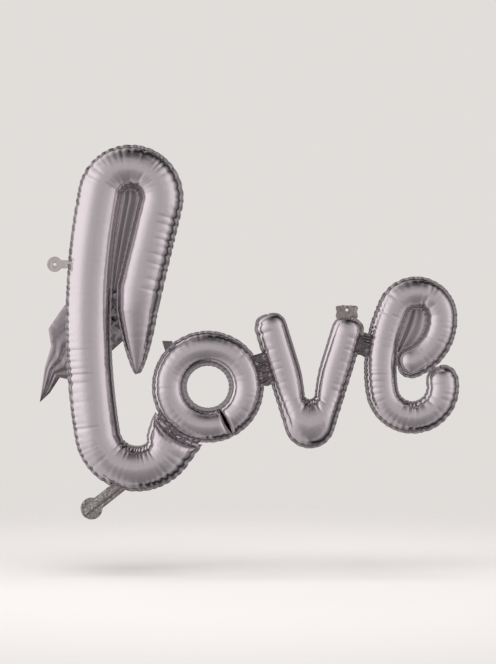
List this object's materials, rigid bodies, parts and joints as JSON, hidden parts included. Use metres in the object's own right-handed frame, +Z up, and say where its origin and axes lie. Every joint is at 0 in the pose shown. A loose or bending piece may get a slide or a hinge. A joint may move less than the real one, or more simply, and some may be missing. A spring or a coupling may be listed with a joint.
{
  "type": "script foil balloon",
  "caption": "Air-filled foil balloon in the shape of a joined script word, with fold lines between its letters, hanging tabs and a valve neck.",
  "frame": {"origin": "centre of the hanging eyelet in the tab on the left of the l", "axes": "+X along the word from l to e, +Z up, -Y towards the viewer, out of the front foil"},
  "size_m": [0.7715, 0.1025, 0.6841],
  "materials": {
    "mirror_foil": "mirror-bright vacuum-metallised film",
    "duct_foil": "creased metallised film",
    "neck_foil": "crinkled metallised film, duller than the letters",
    "welded_tab": "flat double film, heat welded",
    "valve_film": "clear soft film"
  },
  "bodies": {
    "letter_l": {"l_front_foil": "mirror_foil", "l_back_foil": "mirror_foil", "tail_front_foil": "mirror_foil", "tail_back_foil": "mirror_foil", "air_duct_tail": "duct_foil", "valve_flap_front": "valve_film", "valve_flap_back": "valve_film"},
    "letter_o": {"o_front_foil": "mirror_foil", "o_back_foil": "mirror_foil", "air_duct_l_o": "duct_foil"},
    "letter_v": {"v_front_foil": "mirror_foil", "v_back_foil": "mirror_foil", "air_duct_o_v": "duct_foil"},
    "letter_e": {"e_front_foil": "mirror_foil", "e_back_foil": "mirror_foil", "air_duct_v_e": "duct_foil"},
    "valve_neck": {"neck_front_foil": "neck_foil", "neck_back_foil": "neck_foil", "valve_film_front": "valve_film", "valve_film_back": "valve_film"},
    "tab_l": {"hanging_tab_l": "welded_tab"},
    "tab_o": {"hanging_tab_o": "welded_tab"},
    "tab_v": {"hanging_tab_v": "welded_tab"}
  },
  "joints": [
    {"name": "fold_l_o", "type": "hinge", "parent": "letter_l", "child": "letter_o", "pos_m": [0.2194, 0, -0.30715], "axis": [-0.8121, 0, 0.5835], "range_deg": [-35, 35], "stiffness_Nm_per_rad": 0.15, "deforming": ["air_duct_l_o"]},
    {"name": "fold_o_v", "type": "hinge", "parent": "letter_o", "child": "letter_v", "pos_m": [0.38318, 0, -0.19151], "axis": [-0.2949, 0, 0.9555], "range_deg": [-40, 40], "stiffness_Nm_per_rad": 0.08, "deforming": ["air_duct_o_v"]},
    {"name": "fold_v_e", "type": "hinge", "parent": "letter_v", "child": "letter_e", "pos_m": [0.56149, 0, -0.14532], "axis": [0.2941, 0, 0.9558], "range_deg": [-40, 40], "stiffness_Nm_per_rad": 0.04, "deforming": ["air_duct_v_e"]},
    {"name": "neck_fold", "type": "hinge", "parent": "letter_l", "child": "valve_neck", "pos_m": [0.1095, 0, -0.412], "axis": [0.6225, 0, -0.7826], "range_deg": [-90, 90], "stiffness_Nm_per_rad": 0.002},
    {"name": "tab_l_fold", "type": "hinge", "parent": "letter_l", "child": "tab_l", "pos_m": [0.02307, 0, 0], "axis": [0, 0, 1], "range_deg": [-80, 80], "stiffness_Nm_per_rad": 0.0005},
    {"name": "tab_o_fold", "type": "hinge", "parent": "letter_o", "child": "tab_o", "pos_m": [0.20523, 0, -0.14101], "axis": [1, 0, 0], "range_deg": [-30, 85], "stiffness_Nm_per_rad": 0.0005},
    {"name": "tab_v_fold", "type": "hinge", "parent": "letter_v", "child": "tab_v", "pos_m": [0.533, 0, -0.0925], "axis": [1, 0, 0], "range_deg": [-80, 80], "stiffness_Nm_per_rad": 0.0005}
  ]
}
